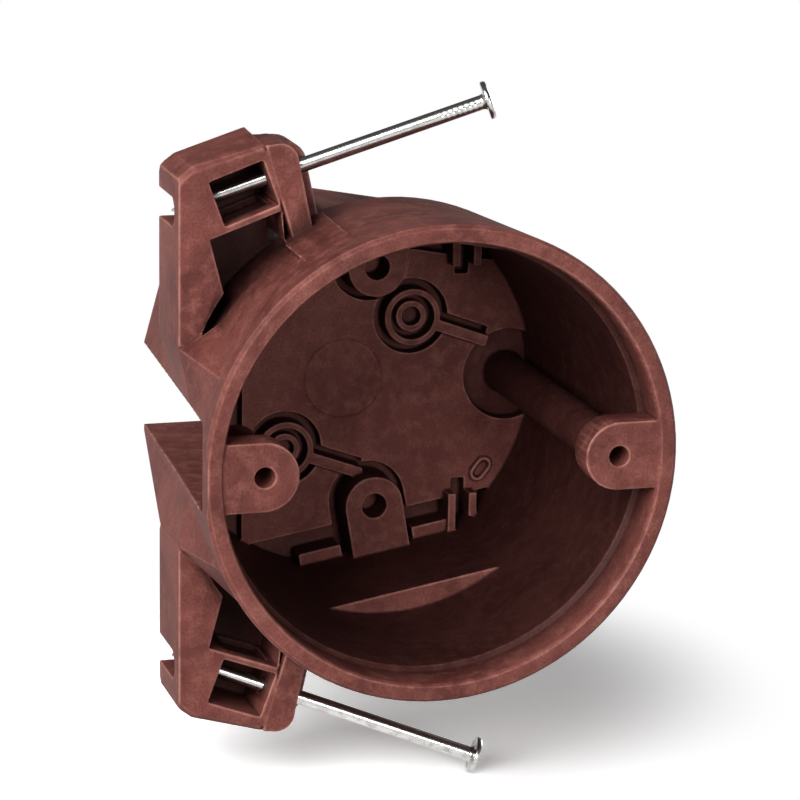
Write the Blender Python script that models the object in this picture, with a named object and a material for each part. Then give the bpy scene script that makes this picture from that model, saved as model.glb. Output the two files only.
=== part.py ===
"""Round nail-on ceiling outlet box, moulded in one piece, with its two captive nails.

The opening faces -Y, the stud side faces -X and +Z is up. The origin is the middle of the
outer back face, on the axis of the cup. Depths are measured back from the front of the rim.
"""
import math

import bmesh
import bpy
from mathutils import Vector

MM = 0.001

# Cup
CUP_DEPTH = 76.0 * MM
RIM_RADIUS = 46.6 * MM
BACK_RADIUS = 42.2 * MM
RIM_FACE = 3.6 * MM
MOUTH_STEP_DEPTH = 8.0 * MM
WALL_AT_STEP = 4.2 * MM
WALL_AT_BACK = 2.5 * MM
BACK_WALL = 3.0 * MM
RIM_ROUND = 0.7 * MM
BACK_ROUND = 1.6 * MM
ROUND_STEPS = 96

# Rim screw lugs, with a post behind each
SCREW_SPACING = 69.85 * MM
SCREW_HOLE_RADIUS = 2.0 * MM
SCREW_HOLE_DEPTH = 24.0 * MM
LUG_RADIUS = 6.7 * MM
LUG_THICKNESS = 7.5 * MM
POST_RADIUS = 4.4 * MM
LUG_SETBACK = 0.5 * MM

# Clamp flats, above and below, turned about the axis of the cup
CLAMP_TURN = math.radians(10.0)
LEDGE_DEPTH = 40.0 * MM
FLAT_AT_LEDGE = 36.5 * MM
FLAT_AT_BACK = 35.6 * MM
FLAT_WALL = 2.8 * MM

# Relief in the stud side, behind the rim
RELIEF_START = 4.5 * MM
RELIEF_TOP = 9.1 * MM
RELIEF_BOTTOM = -8.0 * MM
RELIEF_FLOOR_X = -28.0 * MM
RELIEF_WALL = 2.6 * MM

# Raised plateau on the back wall and what stands on it
PLATEAU_HEIGHT = 3.0 * MM
PLATEAU_REACH = 29.6 * MM
PLATEAU_LEFT = -22.5 * MM
POST_POCKET_RADIUS = 9.7 * MM
RING_SPACING = 38.1 * MM
RING_ANGLE = math.radians(45.0)
RING_RADIUS = 6.0 * MM
RING_WALL = 1.3 * MM
RING_HEIGHT = 1.5 * MM
RING_MOAT = 1.9 * MM
HUB_RADIUS = 3.3 * MM
HUB_HOLE_RADIUS = 2.0 * MM
HUB_HEIGHT = 3.4 * MM
RING_PAN = 0.9 * MM
RIB_WIDTH = 2.4 * MM
RIB_MOAT = 1.6 * MM
RIB_HEIGHT = 1.6 * MM
RIB_LENGTH = 12.0 * MM
RING_RIB_TURN = math.radians(-20.0)
DISC_RADIUS = 8.5 * MM
DISC_HEIGHT = 0.35 * MM
DISC_X = -1.0 * MM
DISC_Z = 0.9 * MM

# Clamp lugs, arched towards the axis
CLAMP_LUG_REACH = 25.7 * MM
CLAMP_LUG_RADIUS = 6.2 * MM
CLAMP_LUG_HEIGHT = 9.0 * MM
CLAMP_LUG_CLEARANCE = 1.9 * MM
CLAMP_HOLE_RADIUS = 2.6 * MM
CLAMP_HOLE_DEPTH = 7.0 * MM
CLAMP_BAR_WIDTH = 2.6 * MM
CLAMP_BAR_HEIGHT = 6.0 * MM
CLAMP_BAR_HALF = 17.0 * MM
CLAMP_BAR_GAP = 1.6 * MM

# Slot and fins beside each clamp
SLOT_X = 24.3 * MM
SLOT_WIDTH = 2.8 * MM
SLOT_START = 22.0 * MM
FIN_WIDTH = 1.7 * MM
FIN_HEIGHT = 7.0 * MM

# Long loop at the edge of the plateau
LOOP_X = 29.2 * MM
LOOP_Z = -20.2 * MM
LOOP_LENGTH = 5.6 * MM
LOOP_RADIUS = 1.7 * MM
LOOP_WALL = 0.7 * MM
LOOP_HEIGHT = 0.9 * MM
LOOP_TURN = math.radians(52.0)

# Nailing pad on the stud side, drafted from the plane of the stud to the back of the cup
STUD_X = -46.0 * MM
PAD_START = 3.0 * MM
PAD_SHOULDER = 9.3 * MM
PAD_RIM_HALF = 18.4 * MM
PAD_HALF_HEIGHT = 19.6 * MM
PAD_BACK_X = -41.8 * MM
PAD_BACK_LEAN = math.radians(15.0)
PAD_BACK_HALF = 22.0 * MM

# Nail brackets
BRACKET_FRONT = 24.5 * MM
BRACKET_BACK = 42.0 * MM
BRACKET_EDGE = 0.9 * MM
BRACKET_PLATE = 5.8 * MM
BRACKET_FOOT = 21.2 * MM
BRACKET_SHOULDER = 51.4 * MM
BRACKET_TOP_LEFT = 54.2 * MM
BRACKET_TOP_RUN = 16.6 * MM
FRONT_TOP_LEAN = math.radians(17.0)
BACK_TOP_LEAN = math.radians(20.0)
CHEEK_FRONT_X = -22.6 * MM
CHEEK_FRONT_RADIUS = 3.8 * MM
FLANGE_FRONT = 30.5 * MM
FLANGE_X = -19.3 * MM
FLANGE_RADIUS = 4.4 * MM
FLANGE_TOP = 57.8 * MM
CHEEK_LEAN = math.radians(12.0)
WINDOW_BACK = 38.5 * MM
WINDOW_LENGTH = 11.2 * MM
WINDOW_SHIFT = -0.2 * MM
WINDOW_LOW = -4.3 * MM
WINDOW_HIGH = 4.9 * MM
CROSS_BAR = 1.3 * MM
CROSS_BAR_THICKNESS = 4.0 * MM
POCKET_LEFT = 3.6 * MM
EXIT_NOTCH_HEIGHT = 5.6 * MM
EXIT_NOTCH_RISE = 0.9 * MM
EXIT_NOTCH_DEPTH = 13.4 * MM
EXIT_NOTCH_CORNER = 0.6

# Raised face between the rim and the foot of each cheek
FAIRING_FROM = math.radians(110.5)
FAIRING_TO = math.radians(123.0)
FAIRING_LIFT = 2.2 * MM
FAIRING_STEPS = 3

# Gap between each stud plate and the cup, open to the pocket
GAP_RADIUS = 47.8 * MM
GAP_END_RADIUS = 46.2 * MM
GAP_FLOOR_DROP = 0.3 * MM
GAP_STEPS = 4
GAP_FROM = math.radians(141.0)
GAP_TO = math.radians(156.5)

# Nails
NAIL_LENGTH = 63.5 * MM
NAIL_RADIUS = 1.43 * MM
NAIL_HEAD_RADIUS = 3.75 * MM
NAIL_HEAD_THICKNESS = 1.3 * MM
NAIL_HEAD_EDGE = 0.3 * MM
NAIL_NECK = 0.6 * MM
NAIL_POINT = 4.6 * MM
NAIL_CLEARANCE = 0.35 * MM
NAIL_LEAN = math.radians(20.1)
NAIL_TILT = math.radians(11.6)
NAIL_BELOW_TOP = 5.2 * MM
NAIL_CENTRE = Vector((-33.0 * MM, 32.1 * MM, BRACKET_TOP_LEFT - NAIL_BELOW_TOP))
NAIL_BEHIND = 13.2 * MM

PHENOLIC = (0.20, 0.060, 0.052, 1.0)
STEEL = (0.62, 0.62, 0.63, 1.0)
OVERLAP = 0.5 * MM
WELD = 0.002 * MM


def at_depth(depth):
    """World Y of a depth measured back from the front of the rim."""
    return depth - CUP_DEPTH


def outer_radius(depth):
    """Radius of the tapered outside of the cup."""
    return RIM_RADIUS + (BACK_RADIUS - RIM_RADIUS) * depth / CUP_DEPTH


def inner_radius(depth):
    """Radius of the tapered inside of the cup behind the step of its mouth."""
    share = (depth - MOUTH_STEP_DEPTH) / (CUP_DEPTH - MOUTH_STEP_DEPTH)
    wall = WALL_AT_STEP + (WALL_AT_BACK - WALL_AT_STEP) * share
    return outer_radius(depth) - wall


def floor_depth():
    """Depth of the inner floor between the raised parts."""
    return CUP_DEPTH - BACK_WALL


def new_object(name, bm):
    """Turns a bmesh into an object of the scene."""
    bmesh.ops.recalc_face_normals(bm, faces=bm.faces)
    mesh = bpy.data.meshes.new(name)
    bm.to_mesh(mesh)
    bm.free()
    obj = bpy.data.objects.new(name, mesh)
    bpy.context.scene.collection.objects.link(obj)
    return obj


def turned(name, profile, x=0.0, z=0.0, steps=ROUND_STEPS):
    """Revolves a closed (radius, depth) profile about an axis that runs along Y at (x, z)."""
    bm = bmesh.new()
    rings = []
    for radius, depth in profile:
        if radius <= 0.0:
            rings.append([bm.verts.new((x, at_depth(depth), z))])
            continue
        ring = []
        for step in range(steps):
            angle = math.tau * step / steps
            place = (x + radius * math.cos(angle), at_depth(depth), z + radius * math.sin(angle))
            ring.append(bm.verts.new(place))
        rings.append(ring)
    pairs = list(zip(rings, rings[1:]))
    if len(rings[0]) > 1:
        pairs.append((rings[-1], rings[0]))
    for first, second in pairs:
        for step in range(steps):
            after = (step + 1) % steps
            corners = [first[step % len(first)], first[after % len(first)],
                       second[after % len(second)], second[step % len(second)]]
            unique = list(dict.fromkeys(corners))
            if len(unique) > 2:
                bm.faces.new(unique)
    return new_object(name, bm)


def loft(name, sections):
    """Joins (depth, outline) sections from front to back; their outlines have equally many (x, z) points."""
    bm = bmesh.new()
    rings = [[bm.verts.new((x, at_depth(depth), z)) for x, z in outline] for depth, outline in sections]
    bm.faces.new(rings[0])
    bm.faces.new(rings[-1][::-1])
    count = len(rings[0])
    for front, back in zip(rings, rings[1:]):
        for index in range(count):
            after = (index + 1) % count
            bm.faces.new((front[index], front[after], back[after], back[index]))
    bmesh.ops.connect_verts_nonplanar(bm, angle_limit=0.0001, faces=bm.faces)
    return new_object(name, bm)


def prism(name, outline, start, end, end_outline=None):
    """Extrudes an (x, z) outline from one depth to another, or draws it out to a second outline."""
    return loft(name, [(start, outline), (end, end_outline or outline)])


def side_prism(name, outline, low, high):
    """Extrudes an (x, depth) outline from one height to another."""
    bm = bmesh.new()
    bottom = [bm.verts.new((x, at_depth(depth), low)) for x, depth in outline]
    top = [bm.verts.new((x, at_depth(depth), high)) for x, depth in outline]
    bm.faces.new(bottom)
    bm.faces.new(top[::-1])
    count = len(bottom)
    for index in range(count):
        after = (index + 1) % count
        bm.faces.new((bottom[index], bottom[after], top[after], top[index]))
    return new_object(name, bm)


def plate_prism(name, outline, left, right):
    """Extrudes a (depth, z) outline along X from one side to another."""
    bm = bmesh.new()
    near = [bm.verts.new((left, at_depth(depth), z)) for depth, z in outline]
    far = [bm.verts.new((right, at_depth(depth), z)) for depth, z in outline]
    bm.faces.new(near)
    bm.faces.new(far[::-1])
    count = len(near)
    for index in range(count):
        after = (index + 1) % count
        bm.faces.new((near[index], near[after], far[after], far[index]))
    return new_object(name, bm)


def combine(target, tool, operation):
    """Joins a tool solid to the target or cuts it away, and removes the tool."""
    modifier = target.modifiers.new(operation, "BOOLEAN")
    modifier.operation = operation
    modifier.solver = "EXACT"
    modifier.object = tool
    bpy.context.view_layer.update()
    evaluated = target.evaluated_get(bpy.context.evaluated_depsgraph_get())
    result = bpy.data.meshes.new_from_object(evaluated)
    target.modifiers.clear()
    bm = bmesh.new()
    bm.from_mesh(result)
    bmesh.ops.remove_doubles(bm, verts=bm.verts, dist=WELD)
    bmesh.ops.dissolve_degenerate(bm, edges=bm.edges, dist=WELD)
    bm.to_mesh(result)
    bm.free()
    old = target.data
    target.data = result
    bpy.data.meshes.remove(old)
    bpy.data.objects.remove(tool)


def join(target, tool):
    combine(target, tool, "UNION")


def cut(target, tool):
    combine(target, tool, "DIFFERENCE")


def mirrored(outline, side):
    """The (x, z) outline as it is above the axis (side 1) or mirrored below it (side -1)."""
    return [(x, side * z) for x, z in outline]


def arc(x, z, radius, start, end, steps):
    """Points of an arc, its angles in degrees from +X towards +Z."""
    points = []
    for step in range(steps + 1):
        angle = math.radians(start + (end - start) * step / steps)
        points.append((x + radius * math.cos(angle), z + radius * math.sin(angle)))
    return points


def clamp_point(reach, across, side):
    """The (x, z) point that far from the axis in the clamp's direction and that far across it."""
    x = reach * math.sin(CLAMP_TURN) + across * math.cos(CLAMP_TURN)
    z = reach * math.cos(CLAMP_TURN) - across * math.sin(CLAMP_TURN)
    return (x, side * z)


def clamp_strip(inner, outer, half, side):
    """A strip square to the clamp's direction, between two distances from the axis."""
    return [clamp_point(inner, -half, side), clamp_point(inner, half, side),
            clamp_point(outer, half, side), clamp_point(outer, -half, side)]


def beyond_flat(name, start, at_ledge, at_back, side):
    """Everything outside a drafted flat, from a depth to past the back of the cup."""
    far = 2.0 * RIM_RADIUS
    past = CUP_DEPTH + RIM_ROUND
    draft = (at_back - at_ledge) / (CUP_DEPTH - LEDGE_DEPTH)
    near_reach = at_ledge + draft * (start - LEDGE_DEPTH)
    far_reach = at_ledge + draft * (past - LEDGE_DEPTH)
    return prism(name, clamp_strip(near_reach, far, far, side), start, past,
                 clamp_strip(far_reach, far, far, side))


def relief(name, wall):
    """The wedge-shaped relief in the stud side, grown by a wall on every inner side."""
    start = RELIEF_START - wall
    slope = (RELIEF_FLOOR_X - STUD_X) / (CUP_DEPTH - RELIEF_START)
    grown = wall * math.sqrt(1.0 + slope * slope)
    past = CUP_DEPTH + BACK_WALL
    outline = [(STUD_X + grown - OVERLAP, start), (STUD_X + grown, start),
               (STUD_X + slope * (past - RELIEF_START) + grown, past), (2.0 * STUD_X, past),
               (2.0 * STUD_X, start)]
    return side_prism(name, outline, RELIEF_BOTTOM - wall, RELIEF_TOP + wall)


def cup_outside():
    """The tapered cup as a solid, with its clamp flats cut behind the ledges."""
    back = CUP_DEPTH - BACK_ROUND
    profile = [(0.0, 0.0), (RIM_RADIUS - RIM_ROUND, 0.0), (RIM_RADIUS, RIM_ROUND),
               (outer_radius(back), back), (BACK_RADIUS - BACK_ROUND, CUP_DEPTH), (0.0, CUP_DEPTH)]
    cup = turned("outlet_box", profile)
    for side in (1, -1):
        cut(cup, beyond_flat("outer_flat", LEDGE_DEPTH + FLAT_WALL, FLAT_AT_LEDGE + FLAT_WALL,
                             FLAT_AT_BACK + FLAT_WALL, side))
    return cup


def pad_section(depth, shoulder_x, corner_x, half, foot_x):
    """One section of the nailing pad: its foot in the cup wall, then its corners and its middle."""
    foot_z = math.sqrt((outer_radius(depth) - 0.25 * RIM_FACE) ** 2 - foot_x ** 2)
    upper = [(shoulder_x, PAD_SHOULDER), (corner_x, half), (foot_x, foot_z)]
    lower = [(x, -z) for x, z in reversed(upper)]
    return (depth, lower + upper)


def nailing_pad():
    """The land beside the relief: round at the rim, out to the stud at the plates, drafted to the back."""
    rim_radius = outer_radius(PAD_START) - 0.25 * RIM_ROUND
    rim_shoulder = -math.sqrt(rim_radius ** 2 - PAD_SHOULDER ** 2)
    rim_corner = -math.sqrt(rim_radius ** 2 - PAD_RIM_HALF ** 2)
    back_corner = PAD_BACK_X + (PAD_BACK_HALF - PAD_SHOULDER) * math.tan(PAD_BACK_LEAN)
    foot_x = STUD_X + 3.0 * RIM_FACE
    full_x = STUD_X + 0.1 * OVERLAP
    sections = [pad_section(PAD_START, rim_shoulder, rim_corner, PAD_RIM_HALF, foot_x)]
    for depth in (BRACKET_FRONT + BRACKET_EDGE, BRACKET_BACK - 0.5 * BRACKET_EDGE):
        share = (depth - PAD_START) / (CUP_DEPTH - PAD_START)
        shoulder_x = rim_shoulder + share * (PAD_BACK_X - rim_shoulder)
        sections.append(pad_section(depth, shoulder_x, full_x, PAD_HALF_HEIGHT, foot_x))
    sections.append(pad_section(CUP_DEPTH, PAD_BACK_X, back_corner, PAD_BACK_HALF, foot_x + RIM_FACE))
    return loft("nailing_pad", sections)


def stud_trim():
    """Everything past the plane of the stud, which trims the pad and the brackets flush."""
    far = 2.0 * RIM_RADIUS
    outline = [(STUD_X, -OVERLAP), (STUD_X, CUP_DEPTH + far), (STUD_X - far, CUP_DEPTH + far),
               (STUD_X - far, -OVERLAP)]
    return side_prism("stud_trim", outline, -far, far)


def nail_frame(point, side):
    """World (x, z) of a point given along the nail and square to it, from the nail's centre."""
    along, square = point
    cos = math.cos(NAIL_LEAN)
    sin = math.sin(NAIL_LEAN)
    x = NAIL_CENTRE.x + along * cos - square * sin
    z = NAIL_CENTRE.z + along * sin + square * cos
    return (x, side * z)


def eased(outline, amount):
    """The outline with each point drawn that far towards its middle."""
    middle_x = sum(x for x, z in outline) / len(outline)
    middle_z = sum(z for x, z in outline) / len(outline)
    drawn = []
    for x, z in outline:
        keep = 1.0 - amount / math.hypot(x - middle_x, z - middle_z)
        drawn.append((middle_x + keep * (x - middle_x), middle_z + keep * (z - middle_z)))
    return drawn


def eased_prism(name, outline, start, end, side, end_outline=None):
    """A prism or a drawn-out outline whose front and back edges are eased."""
    after = end_outline or outline
    return loft(name, [
        (start, mirrored(eased(outline, BRACKET_EDGE), side)),
        (start + BRACKET_EDGE, mirrored(outline, side)),
        (end - BRACKET_EDGE, mirrored(after, side)),
        (end, mirrored(eased(after, BRACKET_EDGE), side))])


def cheek_outline(right_x, radius, top_z, left_top, left_top_z, left_foot):
    """The right part of a bracket: a leaning column with a round shoulder, down into the cup."""
    lean = math.tan(CHEEK_LEAN)
    shoulder_z = top_z - radius
    foot_z = NAIL_CENTRE.z - 2.0 * WINDOW_LENGTH
    points = [(left_top, left_top_z)]
    points += arc(right_x - radius, shoulder_z, radius, 90.0, 0.0, 6)
    points.append((right_x + lean * (shoulder_z - foot_z), foot_z))
    points.append((left_foot, foot_z))
    return points


def tower_outline(top_lean):
    """The left part of a bracket: stud plate, sloped top and the wall that carries the cheek."""
    outer_x = STUD_X - 2.0 * OVERLAP
    right_x = STUD_X + BRACKET_TOP_RUN
    slope = math.tan(top_lean)
    chamfer = BRACKET_PLATE - BRACKET_EDGE
    first_x = STUD_X + BRACKET_EDGE
    second_x = STUD_X + 3.0 * BRACKET_EDGE
    return [(outer_x, BRACKET_FOOT - 2.0 * OVERLAP), (outer_x, BRACKET_SHOULDER),
            (first_x, BRACKET_TOP_LEFT - BRACKET_EDGE), (second_x, BRACKET_TOP_LEFT + 0.5 * BRACKET_EDGE),
            (right_x, BRACKET_TOP_LEFT + slope * (right_x - second_x)),
            (CHEEK_FRONT_X - CHEEK_FRONT_RADIUS, FLANGE_TOP - 2.0 * BRACKET_EDGE),
            (CHEEK_FRONT_X - 0.5 * CHEEK_FRONT_RADIUS, BRACKET_FOOT + 2.0 * BRACKET_PLATE),
            (STUD_X + chamfer, BRACKET_FOOT - chamfer)]


def bracket(side):
    """One nail bracket: a stud plate, a cheek and a top, round a channel for the nail."""
    tower = eased_prism("bracket", tower_outline(FRONT_TOP_LEAN), BRACKET_FRONT, BRACKET_BACK, side,
                        tower_outline(BACK_TOP_LEAN))
    left = WINDOW_SHIFT - 0.5 * WINDOW_LENGTH
    right = WINDOW_SHIFT + 0.5 * WINDOW_LENGTH
    column_left = right + 0.5 * BRACKET_EDGE
    column_top = nail_frame((column_left, WINDOW_HIGH), 1)[0]
    column_foot = nail_frame((column_left, -2.0 * WINDOW_LENGTH), 1)[0]
    ridge = tower_outline(FRONT_TOP_LEAN)[4]
    column = cheek_outline(CHEEK_FRONT_X, CHEEK_FRONT_RADIUS, FLANGE_TOP + BRACKET_EDGE,
                           column_top, ridge[1] - 0.1 * BRACKET_EDGE, column_foot)
    join(tower, prism("cheek", mirrored(column, side), BRACKET_FRONT - 0.4 * BRACKET_EDGE,
                      FLANGE_FRONT + BRACKET_PLATE))
    flange = cheek_outline(FLANGE_X, FLANGE_RADIUS, FLANGE_TOP, ridge[0], FLANGE_TOP, column_foot)
    join(tower, eased_prism("flange", flange, FLANGE_FRONT, BRACKET_BACK - OVERLAP, side))
    window = [nail_frame(point, side) for point in
              ((left, WINDOW_LOW), (right, WINDOW_LOW), (right, WINDOW_HIGH), (left, WINDOW_HIGH))]
    cut(tower, prism("window", window, BRACKET_FRONT - OVERLAP, WINDOW_BACK))
    return tower


def ring_point(radius, angle):
    """The (x, z) point at a radius and an angle about the axis of the cup."""
    return (radius * math.cos(angle), radius * math.sin(angle))


def fairing(side):
    """The raised face from the rim to the foot of the cheek."""
    span = FAIRING_TO - FAIRING_FROM
    turns = [FAIRING_FROM + span * step / FAIRING_STEPS for step in range(FAIRING_STEPS + 1)]
    feet = [ring_point(BACK_RADIUS - WALL_AT_BACK, turn) for turn in reversed(turns)]
    end = BRACKET_FRONT + BRACKET_PLATE
    front_radius = outer_radius(RIM_FACE) - GAP_FLOOR_DROP
    end_radius = outer_radius(end) + FAIRING_LIFT
    front = [ring_point(front_radius, turn) for turn in turns] + feet
    back = [ring_point(end_radius, turn) for turn in turns] + feet
    return prism("fairing", mirrored(front, side), RIM_FACE, end, mirrored(back, side))


def bracket_pocket(side):
    """The open pocket under the cross bar, down to the cup and along it towards the stud."""
    left = WINDOW_SHIFT - 0.5 * WINDOW_LENGTH
    right = WINDOW_SHIFT + 0.5 * WINDOW_LENGTH
    under = WINDOW_LOW - CROSS_BAR
    inset = right - CROSS_BAR
    outline = [nail_frame((left - POCKET_LEFT, under), 1), nail_frame((right, under), 1),
               nail_frame((inset, under - 0.5 * WINDOW_LENGTH), 1)]
    outline += [ring_point(BACK_RADIUS - WALL_AT_BACK, turn) for turn in (FAIRING_TO, GAP_FROM, GAP_TO)]
    for step in range(GAP_STEPS + 1):
        share = step / GAP_STEPS
        radius = GAP_END_RADIUS + (GAP_RADIUS - GAP_END_RADIUS) * math.sqrt(share)
        outline.append(ring_point(radius, GAP_TO + (GAP_FROM - GAP_TO) * share))
    tool = prism("pocket", mirrored(outline, side), BRACKET_FRONT - OVERLAP, WINDOW_BACK)
    floor_profile = [(0.0, -OVERLAP), (outer_radius(0.0) - GAP_FLOOR_DROP, -OVERLAP),
                     (outer_radius(CUP_DEPTH) - GAP_FLOOR_DROP, CUP_DEPTH), (0.0, CUP_DEPTH)]
    cut(tool, turned("pocket_floor", floor_profile))
    low = under - OVERLAP
    high = WINDOW_LOW + OVERLAP
    behind_bar = [nail_frame(point, side) for point in
                  ((left + CROSS_BAR, low), (inset, low), (inset, high), (left + CROSS_BAR, high))]
    join(tool, prism("behind_bar", behind_bar, BRACKET_FRONT + CROSS_BAR_THICKNESS, WINDOW_BACK - OVERLAP))
    return tool


def exit_notch(side):
    """The slot, open at the back of the stud plate, where the nail leaves it."""
    middle = NAIL_CENTRE.z + math.tan(NAIL_LEAN) * (STUD_X - NAIL_CENTRE.x) + EXIT_NOTCH_RISE
    half = 0.5 * EXIT_NOTCH_HEIGHT
    nose = BRACKET_BACK - EXIT_NOTCH_DEPTH
    corner = EXIT_NOTCH_CORNER * half
    past = BRACKET_BACK + OVERLAP
    outline = [(nose, side * (middle - half + corner)), (nose + corner, side * (middle - half)),
               (past, side * (middle - half)), (past, side * (middle + half)),
               (nose + corner, side * (middle + half)), (nose, side * (middle + half - corner))]
    return plate_prism("exit_notch", outline, STUD_X - OVERLAP, STUD_X + BRACKET_PLATE + OVERLAP)


def nail_direction(side):
    """Unit vector from the point of the nail towards its head."""
    return Vector((math.cos(NAIL_TILT) * math.cos(NAIL_LEAN), -math.sin(NAIL_TILT),
                   side * math.cos(NAIL_TILT) * math.sin(NAIL_LEAN)))


def along_nail(distance, side):
    """World point that far along the nail from its centre in the bracket, towards the head."""
    centre = Vector((NAIL_CENTRE.x, at_depth(NAIL_CENTRE.y), side * NAIL_CENTRE.z))
    return centre + distance * nail_direction(side)


def nail_turned(name, profile, side, steps):
    """Revolves a (radius, distance) profile about the line of the nail."""
    direction = nail_direction(side)
    spin = direction.to_track_quat("Z", "Y").to_matrix()
    bm = bmesh.new()
    rings = []
    for radius, distance in profile:
        centre = along_nail(distance, side)
        if radius <= 0.0:
            rings.append([bm.verts.new(centre)])
            continue
        ring = []
        for step in range(steps):
            angle = math.tau * step / steps
            offset = Vector((radius * math.cos(angle), radius * math.sin(angle), 0.0))
            ring.append(bm.verts.new(centre + spin @ offset))
        rings.append(ring)
    for first, second in zip(rings, rings[1:]):
        for step in range(steps):
            after = (step + 1) % steps
            corners = [first[step % len(first)], first[after % len(first)],
                       second[after % len(second)], second[step % len(second)]]
            bm.faces.new(list(dict.fromkeys(corners)))
    return new_object(name, bm)


def nail_channel(side):
    """The hole that the nail fits, through the cheek and the stud plate."""
    radius = NAIL_RADIUS + NAIL_CLEARANCE
    reach = NAIL_LENGTH
    point = -NAIL_BEHIND - NAIL_CLEARANCE
    profile = [(0.0, point), (radius, point), (radius, reach), (0.0, reach)]
    return nail_turned("nail_channel", profile, side, 24)


def nail(side, name):
    """A round wire nail with a flat head and a cut point."""
    tip = -NAIL_BEHIND
    under_head = tip + NAIL_LENGTH
    top = under_head + NAIL_HEAD_THICKNESS
    profile = [(0.0, tip), (0.15 * NAIL_RADIUS, tip), (NAIL_RADIUS, tip + NAIL_POINT),
               (NAIL_RADIUS, under_head - NAIL_NECK), (NAIL_RADIUS + NAIL_NECK, under_head),
               (NAIL_HEAD_RADIUS, under_head), (NAIL_HEAD_RADIUS, top - NAIL_HEAD_EDGE),
               (NAIL_HEAD_RADIUS - NAIL_HEAD_EDGE, top), (0.0, top)]
    return nail_turned(name, profile, side, 32)


def cavity():
    """The space inside the cup, with the clamp flats and the relief's walls left standing."""
    floor = floor_depth()
    mouth_radius = RIM_RADIUS - RIM_FACE
    step_radius = inner_radius(MOUTH_STEP_DEPTH)
    profile = [(0.0, -OVERLAP), (mouth_radius + RIM_ROUND, -OVERLAP), (mouth_radius, RIM_ROUND),
               (mouth_radius, MOUTH_STEP_DEPTH), (step_radius, MOUTH_STEP_DEPTH + RIM_ROUND),
               (inner_radius(floor), floor), (0.0, floor)]
    space = turned("cavity", profile)
    for side in (1, -1):
        cut(space, beyond_flat("inner_flat", LEDGE_DEPTH, FLAT_AT_LEDGE, FLAT_AT_BACK, side))
    cut(space, relief("relief_wall", RELIEF_WALL))
    return space


def rim_lug(side):
    """A screw lug inside the rim: a tab with a round nose."""
    centre = 0.5 * SCREW_SPACING
    reach = outer_radius(LUG_THICKNESS) - 0.5 * RIM_FACE
    nose = arc(-centre, 0.0, LUG_RADIUS, 90.0, -90.0, 16)
    outline = nose + [(-reach, -LUG_RADIUS), (-reach, LUG_RADIUS)]
    return prism("rim_lug", [(-side * x, z) for x, z in outline], LUG_SETBACK, LUG_THICKNESS)


def lug_post(side):
    """The round post behind a rim lug."""
    end = floor_depth() + OVERLAP if side > 0 else RELIEF_START + 3.0 * LUG_RADIUS
    profile = [(0.0, LUG_THICKNESS - OVERLAP), (POST_RADIUS, LUG_THICKNESS - OVERLAP),
               (POST_RADIUS, end), (0.0, end)]
    return turned("lug_post", profile, side * 0.5 * SCREW_SPACING, 0.0, 32)


def lug_hole(side):
    """The tapped hole for a fixture screw."""
    profile = [(0.0, -OVERLAP), (SCREW_HOLE_RADIUS, -OVERLAP), (SCREW_HOLE_RADIUS, SCREW_HOLE_DEPTH),
               (0.0, SCREW_HOLE_DEPTH + SCREW_HOLE_RADIUS)]
    return turned("lug_hole", profile, side * 0.5 * SCREW_SPACING, 0.0, 24)


def ring_centre(side):
    """The (x, z) centre of a ring boss; the two stand across a diagonal of the back wall."""
    reach = 0.5 * RING_SPACING
    return (side * reach * math.cos(RING_ANGLE), side * reach * math.sin(RING_ANGLE))


def clamp_lug_outline(grow, side, reach):
    """A lug that points at the axis with a round nose, grown by a clearance."""
    radius = CLAMP_LUG_RADIUS + grow
    points = [clamp_point(reach, radius, side)]
    for step in range(17):
        angle = math.pi * step / 16
        across = radius * math.cos(angle)
        points.append(clamp_point(CLAMP_LUG_REACH - radius * math.sin(angle), across, side))
    points.append(clamp_point(reach, -radius, side))
    return points


def plateau():
    """The raised plateau, cut back for the post, the clamps, the ring bosses and the slots."""
    top = floor_depth() - PLATEAU_HEIGHT
    end = floor_depth() + OVERLAP
    reach = inner_radius(top) + OVERLAP
    profile = [(0.0, top), (reach, top), (reach, end), (0.0, end)]
    plate = turned("plateau", profile)
    far = 2.0 * RIM_RADIUS
    before = top - OVERLAP
    after = end + OVERLAP
    for side in (1, -1):
        cut(plate, prism("clamp_side", clamp_strip(PLATEAU_REACH, far, far, side), before, after))
        cut(plate, prism("clamp_notch", clamp_lug_outline(CLAMP_LUG_CLEARANCE, side, far), before, after))
        x, z = ring_centre(side)
        moat = RING_RADIUS + RING_MOAT
        cut(plate, turned("moat", [(0.0, before), (moat, before), (moat, after), (0.0, after)], x, z, 48))
        cut(plate, prism("rib_moat", rib_outline(side, RIB_MOAT, OVERLAP), before, after))
        half = 0.5 * SLOT_WIDTH
        slot = [(SLOT_X - half, SLOT_START), (SLOT_X + half, SLOT_START), (SLOT_X + half, RIM_RADIUS),
                (SLOT_X - half, RIM_RADIUS)]
        cut(plate, prism("slot", mirrored(slot, side), before, after))
    left = [(PLATEAU_LEFT, -far), (PLATEAU_LEFT, far), (-far, far), (-far, -far)]
    cut(plate, prism("left_side", left, before, after))
    pocket = [(0.0, before), (POST_POCKET_RADIUS, before), (POST_POCKET_RADIUS, after), (0.0, after)]
    cut(plate, turned("post_pocket", pocket, 0.5 * SCREW_SPACING, 0.0, 48))
    return plate


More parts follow.
